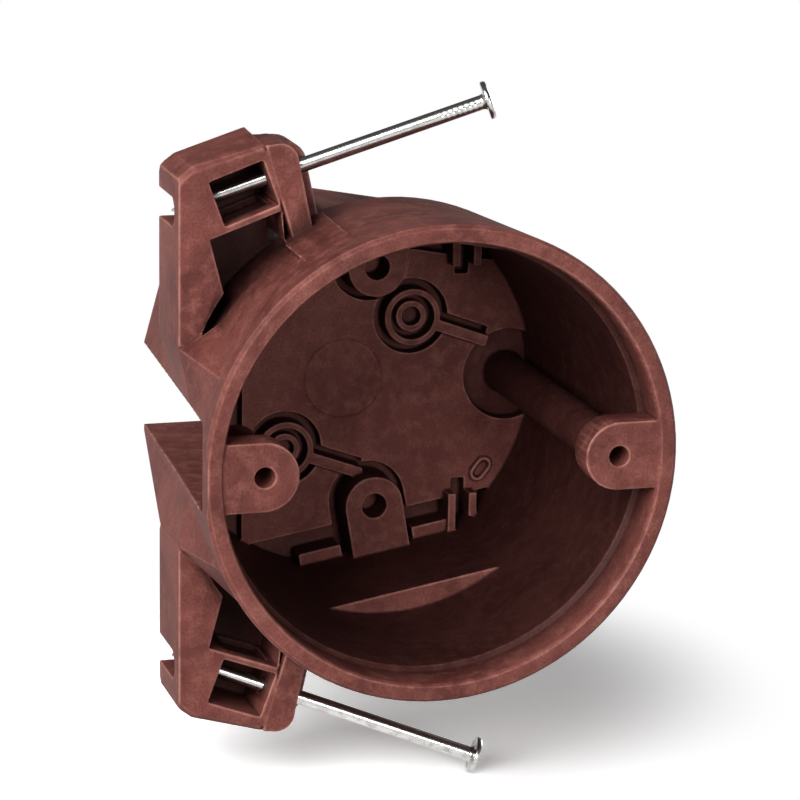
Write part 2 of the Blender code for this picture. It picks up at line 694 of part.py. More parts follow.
def ring_boss(side):
    """A ring that stands in its moat, with a bored hub inside it."""
    x, z = ring_centre(side)
    floor = floor_depth()
    front = floor - PLATEAU_HEIGHT - RING_HEIGHT
    inner = RING_RADIUS - RING_WALL
    pan = floor - RING_PAN
    hub = floor - HUB_HEIGHT
    profile = [(0.0, pan), (HUB_HOLE_RADIUS, pan), (HUB_HOLE_RADIUS, hub), (HUB_RADIUS, hub),
               (HUB_RADIUS, pan), (inner, pan), (inner, front), (RING_RADIUS, front),
               (RING_RADIUS, floor + OVERLAP), (0.0, floor + OVERLAP)]
    return turned("ring_boss", profile, x, z, 40)


def rib_outline(side, above=0.0, inset=0.0):
    """The (x, z) outline of a ring boss's rib, widened on its upper side and drawn in on the others."""
    x, z = ring_centre(side)
    cos = math.cos(RING_RIB_TURN)
    sin = math.sin(RING_RIB_TURN)
    start = RING_RADIUS - 0.5 * RING_WALL
    end = start + RIB_LENGTH - inset
    low = inset - 0.5 * RIB_WIDTH
    high = 0.5 * RIB_WIDTH + above
    return [(x + along * cos - across * sin, z + along * sin + across * cos)
            for along, across in ((start, low), (end, low), (end, high), (start, high))]


def ring_rib(side):
    """The rib that runs from a ring boss towards the post."""
    floor = floor_depth()
    return prism("ring_rib", rib_outline(side), floor - PLATEAU_HEIGHT - RIB_HEIGHT, floor + OVERLAP)


def clamp_lug(side):
    """The arched lug that backs a cable clamp, with its foot on the drafted flat."""
    floor = floor_depth()
    top = floor - CLAMP_LUG_HEIGHT
    lug = prism("clamp_lug", clamp_lug_outline(0.0, side, FLAT_AT_LEDGE), top, floor + OVERLAP)
    x, z = clamp_point(CLAMP_LUG_REACH, 0.0, side)
    hole = [(0.0, top - OVERLAP), (CLAMP_HOLE_RADIUS, top - OVERLAP),
            (CLAMP_HOLE_RADIUS, top + CLAMP_HOLE_DEPTH), (0.0, top + CLAMP_HOLE_DEPTH)]
    cut(lug, turned("clamp_hole", hole, x, z, 32))
    return lug


def clamp_bars(side):
    """The low bar on each side of a clamp lug, along the foot of the flat."""
    floor = floor_depth()
    inner = FLAT_AT_BACK - CLAMP_BAR_WIDTH + 0.5 * OVERLAP
    outer = FLAT_AT_BACK + OVERLAP
    start = CLAMP_LUG_RADIUS + CLAMP_BAR_GAP
    bars = []
    for way in (1, -1):
        outline = [clamp_point(inner, way * start, side), clamp_point(inner, way * CLAMP_BAR_HALF, side),
                   clamp_point(outer, way * CLAMP_BAR_HALF, side), clamp_point(outer, way * start, side)]
        bars.append(prism("clamp_bar", outline, floor - CLAMP_BAR_HEIGHT, floor + OVERLAP))
    return bars


def fins(side):
    """Two thin fins beside the slot, standing out to the wall of the cup."""
    floor = floor_depth()
    made = []
    for way in (1, -1):
        centre = SLOT_X + way * 0.5 * (SLOT_WIDTH + FIN_WIDTH)
        half = 0.5 * FIN_WIDTH
        outer = math.sqrt((inner_radius(floor) + OVERLAP) ** 2 - (centre + half) ** 2)
        outline = [(centre - half, SLOT_START + RIB_WIDTH), (centre + half, SLOT_START + RIB_WIDTH),
                   (centre + half, outer), (centre - half, outer)]
        made.append(prism("fin", mirrored(outline, side), floor - FIN_HEIGHT, floor + OVERLAP))
    return made


def capsule(radius, length):
    """The outline of a long loop about its place on the plateau, turned by its own angle."""
    half = 0.5 * length - radius
    straight = arc(half, 0.0, radius, -90.0, 90.0, 8) + arc(-half, 0.0, radius, 90.0, 270.0, 8)
    cos = math.cos(LOOP_TURN)
    sin = math.sin(LOOP_TURN)
    return [(LOOP_X + x * cos - z * sin, LOOP_Z + x * sin + z * cos) for x, z in straight]


def long_loop():
    """The small long loop that stands at the edge of the plateau."""
    top = floor_depth() - PLATEAU_HEIGHT
    loop = prism("long_loop", capsule(LOOP_RADIUS, LOOP_LENGTH), top - LOOP_HEIGHT, top + OVERLAP)
    inner = capsule(LOOP_RADIUS - LOOP_WALL, LOOP_LENGTH - 2.0 * LOOP_WALL)
    cut(loop, prism("loop_hollow", inner, top - 2.0 * LOOP_HEIGHT, top - 0.2 * LOOP_HEIGHT))
    return loop


def blank_disc():
    """The bare round land in the middle of the plateau."""
    top = floor_depth() - PLATEAU_HEIGHT
    profile = [(0.0, top - DISC_HEIGHT), (DISC_RADIUS - DISC_HEIGHT, top - DISC_HEIGHT),
               (DISC_RADIUS, top + OVERLAP), (0.0, top + OVERLAP)]
    return turned("blank_disc", profile, DISC_X, DISC_Z, 48)


def outlet_box():
    """The whole moulding: cup, pad and brackets outside, lugs, posts and back wall inside."""
    box = cup_outside()
    join(box, nailing_pad())
    for side in (1, -1):
        join(box, fairing(side))
        join(box, bracket(side))
        cut(box, bracket_pocket(side))
    cut(box, stud_trim())
    cut(box, relief("relief", 0.0))
    cut(box, cavity())
    join(box, plateau())
    join(box, blank_disc())
    join(box, long_loop())
    for side in (1, -1):
        join(box, rim_lug(side))
        join(box, lug_post(side))
        join(box, ring_boss(side))
        join(box, ring_rib(side))
        join(box, clamp_lug(side))
        for piece in clamp_bars(side) + fins(side):
            join(box, piece)
    for side in (1, -1):
        cut(box, lug_hole(side))
        cut(box, exit_notch(side))
        cut(box, nail_channel(side))
    return box


def material(name, colour, roughness, metallic):
    """A plain surface finish."""
    finish = bpy.data.materials.new(name)
    finish.use_nodes = True
    shader = finish.node_tree.nodes["Principled BSDF"]
    shader.inputs["Base Color"].default_value = colour
    shader.inputs["Roughness"].default_value = roughness
    shader.inputs["Metallic"].default_value = metallic
    return finish


def finish_piece(obj, name, surface):
    """Names a piece and gives it its material and smooth round faces."""
    obj.name = name
    obj.data.name = name
    obj.data.materials.clear()
    obj.data.materials.append(surface)
    obj.data.shade_smooth()
    obj.data.set_sharp_from_angle(angle=math.radians(30.0))


def main():
    for obj in list(bpy.data.objects):
        bpy.data.objects.remove(obj, do_unlink=True)
    finish_piece(outlet_box(), "outlet_box", material("moulded_phenolic", PHENOLIC, 0.45, 0.0))
    for side, name in ((1, "nail_upper"), (-1, "nail_lower")):
        finish_piece(nail(side, name), name, material(name + "_steel", STEEL, 0.3, 1.0))


main()
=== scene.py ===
import math

import bmesh
import bpy
import numpy as np
from bpy.props import FloatProperty, FloatVectorProperty, IntProperty, PointerProperty
from mathutils import Matrix, Vector


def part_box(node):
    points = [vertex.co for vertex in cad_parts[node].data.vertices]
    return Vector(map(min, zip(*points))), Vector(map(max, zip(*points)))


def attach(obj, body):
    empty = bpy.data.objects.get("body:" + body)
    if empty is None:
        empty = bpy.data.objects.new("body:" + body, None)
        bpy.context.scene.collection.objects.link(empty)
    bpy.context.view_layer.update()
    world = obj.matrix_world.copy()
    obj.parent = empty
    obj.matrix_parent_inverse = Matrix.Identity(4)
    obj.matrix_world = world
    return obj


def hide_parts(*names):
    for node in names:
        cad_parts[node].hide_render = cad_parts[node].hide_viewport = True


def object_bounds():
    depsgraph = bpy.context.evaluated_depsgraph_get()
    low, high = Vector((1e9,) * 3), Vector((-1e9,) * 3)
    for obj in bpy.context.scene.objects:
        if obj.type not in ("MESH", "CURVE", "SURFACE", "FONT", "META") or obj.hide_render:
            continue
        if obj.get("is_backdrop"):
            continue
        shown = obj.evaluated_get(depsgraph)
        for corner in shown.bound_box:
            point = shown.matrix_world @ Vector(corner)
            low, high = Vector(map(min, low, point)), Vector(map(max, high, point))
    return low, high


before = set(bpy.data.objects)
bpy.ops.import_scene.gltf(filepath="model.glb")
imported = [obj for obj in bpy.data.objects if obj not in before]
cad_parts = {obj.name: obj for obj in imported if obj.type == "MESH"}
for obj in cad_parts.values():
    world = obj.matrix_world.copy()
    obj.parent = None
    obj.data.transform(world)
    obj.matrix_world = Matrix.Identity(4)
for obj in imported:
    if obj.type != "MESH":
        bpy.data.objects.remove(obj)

bl_info = {
    "name": "Round Nail-On Outlet Box",
    "version": (1, 0, 0),
    "blender": (4, 5, 0),
    "location": "3D View > Sidebar > Outlet Box",
    "description": "Moulded round outlet box with two captive nails, dressed over its CAD frame",
    "category": "Object",
}

MM = 0.001

# Where shade is painted into the housing's colour, in mm. Depth runs back from the rim.
CUP_DEPTH = 76
CUP_SPLIT_RADIUS = 44.8     # between the cup's two skins at the rim
CUP_SPLIT_TAPER = 0.05      # what that radius loses per mm of depth
CUP_END = 74                # in the middle of the back wall
CUP_FADE = (1.5, 10)        # the cup's shade sets in over these depths
LEDGE_FADE = (30, 38)       # from here on, faces that look out of the mouth lose it
FLOOR_FADE = (70.5, 72.5)   # the floor round the plateau gets part of it back
RELIEF_SIDE = -26.7         # the stud relief: its inner side, foot, top and front
RELIEF_FOOT, RELIEF_TOP, RELIEF_FRONT = -9.3, 10.4, 3.5
POCKET_FADE = (25.5, 29)    # the nail pockets: front, sides, height and back
POCKET_LEFT, POCKET_RIGHT_FADE = -42.5, (22.9, 24)
POCKET_LOW, POCKET_HIGH, POCKET_BACK = 30, 63, 41.6
POCKET_ROOF = 51            # above this, faces that look up are outside
VALLEY_FADE = (16, 26)      # the valleys beside the brackets: depth, side, radius and height
VALLEY_SIDE_FADE, VALLEY_RADIUS, VALLEY_RADIUS_FADE = (14, 21), 50.5, (0, 2)
VALLEY_LOW = 24

BEND_RADIUS = 0.6 * MM      # this tight, an edge is fully worn pale and highlit, a corner fully in painted shade
CAD_WELD = 0.002 * MM

NAIL_HEAD_THICKNESS = 1.3 * MM
NAIL_POINT_LENGTH = 4.6 * MM
NAIL_SIDES = 48

# The stage, in m
CARD_REACH = 3.0
CARD_GAIN = 1.7             # how much brighter the card is to the camera than its own colour
CARD_FADE_START, CARD_FADE_END = 0.085, 0.122
LIGHT_DISTANCE = 1.3
BACK_DISTANCE = 1.4


def linear(code):
    """An sRGB hex colour as linear red, green, blue."""
    values = np.array([int(code[i:i + 2], 16) for i in (0, 2, 4)]) / 255
    low = values / 12.92
    high = ((values + 0.055) / 1.055) ** 2.4
    return tuple(float(v) for v in np.where(values <= 0.04045, low, high))


class HousingSettings(bpy.types.PropertyGroup):
    grid: FloatProperty(
        name="Surface grid", default=0.2 * MM, min=0.15 * MM, unit="LENGTH",
        description="Spacing of the surface that carries the rounded moulded edges")
    smoothing: IntProperty(
        name="Edge smoothing", default=9, min=0,
        description="Rounds of smoothing that turn the sharp CAD edges into moulded ones")
    triangles: IntProperty(
        name="Triangles", default=190000, min=20000,
        description="Most triangles the housing may have")
    body_colour: FloatVectorProperty(
        name="Phenolic", subtype="COLOR", default=linear("7C463F"),
        description="Main reddish brown of the moulded phenolic")
    dark_colour: FloatVectorProperty(
        name="Resin-rich flow", subtype="COLOR", default=linear("552B27"),
        description="Darker brown where the resin flowed")
    pale_colour: FloatVectorProperty(
        name="Filler bloom", subtype="COLOR", default=linear("935C52"),
        description="Paler tan where the filler came to the surface")
    # Pale edge line: partly worn edges, partly a painted edge highlight
    rubbed_edge_and_highlight_colour: FloatVectorProperty(
        name="Rubbed edge", subtype="COLOR", default=linear("A87268"),
        description="Pale line where edges are rubbed or trimmed of flash")
    # Painted shade in the concave corners and creases
    corner_shade_colour: FloatVectorProperty(
        name="Hollow", subtype="COLOR", default=linear("2A1210"),
        description="Dark brown left in the corners and hollows")
    inner_shade_colour: FloatVectorProperty(
        name="Painted shade", subtype="COLOR", default=linear("1A0605"),
        description="Shade laid into the colour deep in the cup, in the nail pockets and beside the brackets")
    inner_shade_share: FloatProperty(
        name="Painted shade share", default=0.85, min=0, max=1,
        description="How much of the painted shade covers the phenolic colour; 0 leaves one colour inside and out")


class NailSettings(bpy.types.PropertyGroup):
    grip_marks: IntProperty(
        name="Grip marks", default=7, min=0,
        description="Cross marks that the gripping dies leave under the head")
    grip_pitch: FloatProperty(
        name="Grip pitch", default=1.1 * MM, unit="LENGTH",
        description="Distance from one grip mark to the next")
    grip_depth: FloatProperty(
        name="Grip depth", default=0.04 * MM, unit="LENGTH",
        description="Depth of a grip mark")
    head_crown: FloatProperty(
        name="Head crown", default=0.15 * MM, unit="LENGTH",
        description="How far the middle of the head stands over its edge")
    steel_colour: FloatVectorProperty(
        name="Steel", subtype="COLOR", default=linear("D2D1CE"),
        description="Colour of the bright drawn wire")


class StageSettings(bpy.types.PropertyGroup):
    floor_colour: FloatVectorProperty(
        name="Floor", subtype="COLOR", default=linear("F4F4F4"),
        description="Pale floor under the box")
    key_power: FloatProperty(
        name="Key light", default=1.0, min=0,
        description="Strength of the large soft light from the upper left")
    fill_power: FloatProperty(
        name="Fill light", default=1.0, min=0,
        description="Strength of the soft light from the front")
    back_power: FloatProperty(
        name="Back light", default=1.0, min=0,
        description="Strength of the soft light from behind on the right")
    ambient: FloatProperty(
        name="Ambient light", default=0.08, min=0,
        description="Strength of the light that comes evenly from all round")


def add_node(tree, kind, settings=None, links=None):
    """Add one shader node. settings: attribute, input name or input number to value; links: input
    name or number to socket. A colour Mix has its factor at 0, its colours at 6 and 7, and its
    result at output 2."""
    node = tree.nodes.new(kind)
    for key, value in (settings or {}).items():
        if isinstance(key, str) and hasattr(node, key):
            setattr(node, key, value)
        else:
            node.inputs[key].default_value = value
    for key, socket in (links or {}).items():
        tree.links.new(socket, node.inputs[key])
    return node


def new_material(name, colour):
    """An empty node material: its tree, and its output node."""
    material = bpy.data.materials.new(name)
    material.use_nodes = True
    material.diffuse_color = (*colour, 1)
    tree = material.node_tree
    tree.nodes.clear()
    return material, tree, tree.nodes.new("ShaderNodeOutputMaterial")


def moulded_phenolic(settings):
    """Compression-moulded phenolic with wood-flour filler.
    The eye gets a dull reddish brown, clouded where resin and filler flowed apart, mottled
    by the filler, with a soft waxy sheen, pale worn edges that also carry a painted edge highlight,
    and painted shade in the concave corners. The deep places also have shade painted into their
    colour. That is no property of the phenolic, which is one colour right through: plain light
    alone leaves them paler than the photograph does."""
    material, tree, output = new_material("moulded_phenolic", settings.body_colour[:])
    place = add_node(tree, "ShaderNodeTexCoord").outputs["Object"]
    edge = add_node(tree, "ShaderNodeAttribute", {"attribute_name": "edge"}).outputs["Fac"]
    hollow = add_node(tree, "ShaderNodeAttribute", {"attribute_name": "hollow"}).outputs["Fac"]
    deep = add_node(tree, "ShaderNodeAttribute", {"attribute_name": "deep"}).outputs["Fac"]
    # resin flow 14 mm across
    clouds = add_node(tree, "ShaderNodeTexNoise", {"Scale": 1 / (14 * MM), "Detail": 3.0, "Distortion": 0.6},
                      {"Vector": place}).outputs["Fac"]
    # filler mottle 3 mm across
    mottle = add_node(tree, "ShaderNodeTexNoise", {"Scale": 1 / (3 * MM), "Detail": 5.0, "Roughness": 0.6},
                      {"Vector": place}).outputs["Fac"]
    # filler grains: real ones are 0.2 mm, drawn at 0.5 mm so that they show
    grains = add_node(tree, "ShaderNodeTexNoise", {"Scale": 1 / (0.5 * MM), "Detail": 2.0, "Roughness": 0.6},
                      {"Vector": place}).outputs["Fac"]
    dark = add_node(tree, "ShaderNodeMapRange", {"From Min": 0.38, "From Max": 0.66, "To Max": 0.8},
                    {"Value": clouds}).outputs["Result"]
    pale = add_node(tree, "ShaderNodeMapRange", {"From Min": 0.46, "From Max": 0.70, "To Max": 0.65},
                    {"Value": mottle}).outputs["Result"]
    speck = add_node(tree, "ShaderNodeMapRange", {"From Min": 0.42, "From Max": 0.64, "To Max": 0.45},
                     {"Value": grains}).outputs["Result"]
    patchy = add_node(tree, "ShaderNodeMapRange", {"From Min": 0.34, "From Max": 0.60, "To Min": 0.45},
                      {"Value": mottle}).outputs["Result"]
    # The pale edge, wear together with a painted highlight, fades out where the painted shade lies
    outside_painted_shade = add_node(tree, "ShaderNodeMapRange", {"To Min": 1.0, "To Max": 0.15},
                        {"Value": deep}).outputs["Result"]
    patchy_edge = add_node(tree, "ShaderNodeMath", {"operation": "MULTIPLY"}, {0: edge, 1: patchy}).outputs[0]
    rubbed_and_highlit = add_node(tree, "ShaderNodeMath", {"operation": "MULTIPLY"}, {0: patchy_edge, 1: outside_painted_shade}).outputs[0]
    colour = add_node(tree, "ShaderNodeMix", {
        "data_type": "RGBA", 6: (*settings.body_colour, 1), 7: (*settings.dark_colour, 1)}, {0: dark}).outputs[2]
    # Layered over the clouded brown: filler bloom, dark specks, painted shade in the deep places, painted shade in the
    # concave corners, then pale worn edges with a painted edge highlight
    for share, layer in ((pale, settings.pale_colour), (speck, settings.dark_colour), (deep, settings.inner_shade_colour),
                         (hollow, settings.corner_shade_colour), (rubbed_and_highlit, settings.rubbed_edge_and_highlight_colour)):
        colour = add_node(tree, "ShaderNodeMix", {"data_type": "RGBA", 7: (*layer, 1)},
                          {0: share, 6: colour}).outputs[2]
    gloss = add_node(tree, "ShaderNodeMapRange", {"To Min": 0.50, "To Max": 0.72},
                     {"Value": mottle}).outputs["Result"]
    swell = add_node(tree, "ShaderNodeBump", {"Strength": 0.55, "Distance": 0.45 * MM}, {"Height": mottle})
    skin = add_node(tree, "ShaderNodeBump", {"Strength": 0.5, "Distance": 0.08 * MM},
                    {"Height": grains, "Normal": swell.outputs["Normal"]})
    shader = add_node(tree, "ShaderNodeBsdfPrincipled", {"IOR": 1.55, "Specular IOR Level": 0.13},
                      {"Base Color": colour, "Roughness": gloss, "Normal": skin.outputs["Normal"]})
    tree.links.new(shader.outputs["BSDF"], output.inputs["Surface"])
    return material


def drawn_steel(settings):
    """Bright drawn steel wire. The eye gets hard bright and dark streaks along the shank, broken
    by small handling marks that are duller and a little darker."""
    material, tree, output = new_material("drawn_steel", settings.steel_colour[:])
    place = add_node(tree, "ShaderNodeTexCoord").outputs["Object"]
    # handling marks 2 mm across
    marks = add_node(tree, "ShaderNodeTexNoise", {"Scale": 1 / (2 * MM), "Detail": 6.0, "Roughness": 0.65},
                     {"Vector": place}).outputs["Fac"]
    tone = add_node(tree, "ShaderNodeMapRange", {"From Min": 0.45, "From Max": 0.75},
                    {"Value": marks}).outputs["Result"]
    colour = add_node(tree, "ShaderNodeMix", {
        "data_type": "RGBA", 6: (*settings.steel_colour, 1), 7: (*linear("8E8D8B"), 1)}, {0: tone}).outputs[2]
    gloss = add_node(tree, "ShaderNodeMapRange", {"To Min": 0.12, "To Max": 0.34},
                     {"Value": marks}).outputs["Result"]
    skin = add_node(tree, "ShaderNodeBump", {"Strength": 0.2, "Distance": 0.04 * MM}, {"Height": marks})
    shader = add_node(tree, "ShaderNodeBsdfPrincipled", {"Metallic": 1.0},
                      {"Base Color": colour, "Roughness": gloss, "Normal": skin.outputs["Normal"]})
    tree.links.new(shader.outputs["BSDF"], output.inputs["Surface"])
    return material


def pale_floor(settings):
    """Matt white studio card. To the camera and in reflections it is white, 1.7 times its own colour,
    and keeps the shadow near the box. To other rays it is mid grey, so that it throws little light
    up at the box. Past 0.12 m from the origin it runs into the white backdrop."""
    material, tree, output = new_material("studio_card", settings.floor_colour[:])
    path = add_node(tree, "ShaderNodeLightPath")
    seen = add_node(tree, "ShaderNodeMath", {"operation": "MAXIMUM"},
                    {0: path.outputs["Is Camera Ray"], 1: path.outputs["Is Glossy Ray"]}).outputs[0]
    place = add_node(tree, "ShaderNodeTexCoord").outputs["Object"]
    away = add_node(tree, "ShaderNodeVectorMath", {"operation": "LENGTH"}, {0: place}).outputs["Value"]
    far = add_node(tree, "ShaderNodeMapRange",
                   {"interpolation_type": "SMOOTHSTEP", "From Min": CARD_FADE_START, "From Max": CARD_FADE_END},
                   {"Value": away}).outputs["Result"]
    backdrop = add_node(tree, "ShaderNodeMath", {"operation": "MULTIPLY"}, {0: seen, 1: far}).outputs[0]
    bright = (*(CARD_GAIN * channel for channel in settings.floor_colour), 1)
    colour = add_node(tree, "ShaderNodeMix", {
        "data_type": "RGBA", 6: (*linear("7A7A7A"), 1), 7: bright}, {0: seen}).outputs[2]
    lit = add_node(tree, "ShaderNodeBsdfDiffuse", None, {"Color": colour})
    white = add_node(tree, "ShaderNodeEmission", {"Color": (1, 1, 1, 1), "Strength": 1.0})
    mixed = add_node(tree, "ShaderNodeMixShader", None, {0: backdrop, 1: lit.outputs[0], 2: white.outputs[0]})
    tree.links.new(mixed.outputs[0], output.inputs["Surface"])
    return material


def mesh_object(name, points, faces, material):
    """A smooth-shaded object at the origin from an array of points and an array of faces."""
    mesh = bpy.data.meshes.new(name)
    mesh.from_pydata(points.reshape(-1, 3), [], faces)
    mesh.materials.append(material)
    mesh.update()
    mesh.shade_smooth()
    made = bpy.data.objects.new(name, mesh)
    bpy.context.scene.collection.objects.link(made)
    return made


def merged_copy(node, name, material):
    """A copy of a CAD node whose loose triangles are joined into one closed surface."""
    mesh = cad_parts[node].data.copy()
    mesh.name = name
    work = bmesh.new()
    work.from_mesh(mesh)
    bmesh.ops.remove_doubles(work, verts=work.verts, dist=CAD_WELD)
    work.to_mesh(mesh)
    work.free()
    mesh.materials.clear()
    mesh.materials.append(material)
    made = bpy.data.objects.new(name, mesh)
    bpy.context.scene.collection.objects.link(made)
    return made


def apply_modifiers(target):
    """Replace the object's mesh by what its modifiers make of it."""
    depsgraph = bpy.context.evaluated_depsgraph_get()
    finished = bpy.data.meshes.new_from_object(target.evaluated_get(depsgraph))
    target.modifiers.clear()
    target.data = finished


def corner_vectors(mesh, field):
    """A mesh's corner positions ("co") or normals ("normal") as an array of three columns."""
    values = np.empty(len(mesh.vertices) * 3)
    mesh.vertices.foreach_get(field, values)
    return values.reshape(-1, 3)


def edge_and_hollow(mesh, radius):
    """Marks convex edges and concave corners of a mesh as two attributes from 0 to 1.
    At a corner point the bend is the mean over its edges of -2 (n . d) / |d|^2, with n the
    point's normal and d the edge; times a radius it is 1 where the surface turns that tightly.
    Two rounds of averaging with the neighbours take out the noise."""
    count = len(mesh.vertices)
    points, normals = corner_vectors(mesh, "co"), corner_vectors(mesh, "normal")
    ends = np.empty(len(mesh.edges) * 2, dtype=np.int64)
    mesh.edges.foreach_get("vertices", ends)
    first, second = ends.reshape(-1, 2).T
    start, stop = np.concatenate((first, second)), np.concatenate((second, first))
    reach = points[stop] - points[start]
    bend = -2 * (normals[start] * reach).sum(1) / np.maximum((reach ** 2).sum(1), 1e-12)
    joined = np.maximum(np.bincount(start, minlength=count), 1)
    value = np.bincount(start, bend, minlength=count) / joined * radius
    for _ in range(2):
        value = 0.5 * value + 0.5 * np.bincount(start, value[stop], minlength=count) / joined
    # edge carries the pale worn edge with its painted highlight, hollow the painted shade in concave corners
    for name, signed in (("edge", value), ("hollow", -value)):
        share = np.clip((signed - 0.12) / 0.5, 0, 1)
        mesh.attributes.new(name, "FLOAT", "POINT").data.foreach_set("value", share)


def ramp(values, low, high):
    """0 below low, 1 above high, and an even S between."""
    share = np.clip((values - low) / (high - low), 0, 1)
    return share * share * (3 - 2 * share)


def painted_shade(mesh, most):
    """Marks where shade is painted in, as an attribute from 0 to the given most. In the cup it grows
    with the depth behind the rim, and faces that look out of the mouth have little of it. The nail
    pockets and the valley between each bracket and the cup have it too. The places are those of this
    part in mm, and don't follow a change of the CAD sizes."""
    x, y, z = (corner_vectors(mesh, "co") / MM).T
    nx, ny, nz = corner_vectors(mesh, "normal").T
    depth, up, radius = y + CUP_DEPTH, np.abs(z), np.hypot(x, z)
    outward = (nx * x + nz * z) / np.maximum(radius, 1)

    flats = (outward > 0.3) & (radius > 26) & (x < 0)
    relief = (x < RELIEF_SIDE) & (z > RELIEF_FOOT) & (z < RELIEF_TOP) & (depth > RELIEF_FRONT)
    inside = (radius < CUP_SPLIT_RADIUS - CUP_SPLIT_TAPER * depth) & (depth < CUP_END) & ~flats & ~relief
    looks_out = np.clip(-ny, 0, 1)
    floor = 0.6 * ramp(depth, *FLOOR_FADE)
    cup = inside * ramp(depth, *CUP_FADE) * (1 - 0.97 * looks_out * ramp(depth, *LEDGE_FADE) * (1 - floor))

    roof = (up > POCKET_ROOF) & (np.sign(z) * nz > 0.5)
    pocket = (ramp(depth, *POCKET_FADE) * ramp(-x, *POCKET_RIGHT_FADE) * (x > POCKET_LEFT)
              * (up > POCKET_LOW) * (up < POCKET_HIGH) * (depth < POCKET_BACK) * ~roof)

    valley = (ramp(depth, *VALLEY_FADE) * ramp(-x, *VALLEY_SIDE_FADE)
              * ramp(VALLEY_RADIUS - radius, *VALLEY_RADIUS_FADE) * (up > VALLEY_LOW) * ~inside * (ny < 0.3))

    share = most * np.maximum(cup, np.maximum(pocket, 0.85 * valley))
    mesh.attributes.new("deep", "FLOAT", "POINT").data.foreach_set("value", share)


def housing(settings):
    """The moulded housing: the CAD solid on an even grid, smoothed so that its edges round off,
    thinned, and held inside the box of its CAD node. The grid has to be near 0.2 mm, because a
    coarser one leaves slivers in the slit beside the nail window and loses the low raised disc."""
    made = merged_copy("outlet_box", "housing", moulded_phenolic(settings))
    remesh = made.modifiers.new("grid", "REMESH")
    remesh.mode = "VOXEL"
    remesh.voxel_size = settings.grid
    smooth = made.modifiers.new("moulded_edges", "SMOOTH")
    smooth.iterations = settings.smoothing
    smooth.factor = 0.5
    apply_modifiers(made)
    count = sum(len(p.vertices) - 2 for p in made.data.polygons)
    if count > settings.triangles:
        thin = made.modifiers.new("thin", "DECIMATE")
        thin.ratio = settings.triangles / count
        apply_modifiers(made)
    made.data.shade_smooth()
    low, high = (np.array(corner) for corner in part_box("outlet_box"))
    made.data.vertices.foreach_set("co", np.clip(corner_vectors(made.data, "co"), low, high).ravel())
    made.data.update()
    edge_and_hollow(made.data, BEND_RADIUS)
    painted_shade(made.data, settings.inner_shade_share)
    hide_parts("outlet_box")
    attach(made, "root")
    return made


def nail_axis(node):
    """The tip of a CAD nail, the unit direction to its head, its length, and its shank and head radius.
    The axis is the direction of widest spread of the nail's distinct corners through their middle."""
    corners = np.unique(np.round(corner_vectors(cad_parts[node].data, "co"), 7), axis=0)
    axis = np.linalg.svd(corners - corners.mean(0), full_matrices=False)[2][0]
    foot = corners.mean(0) - axis * (corners.mean(0) @ axis)
    along = corners @ axis
    across = np.linalg.norm(corners - foot - np.outer(along, axis), axis=1)
    if along[np.argmax(across)] < 0.5 * (along.min() + along.max()):
        axis, along = -axis, -along
    middle = np.abs(along - 0.5 * (along.min() + along.max())) < 0.45 * np.ptp(along)
    return foot + axis * along.min(), axis, np.ptp(along), across[middle].max(), across.max()


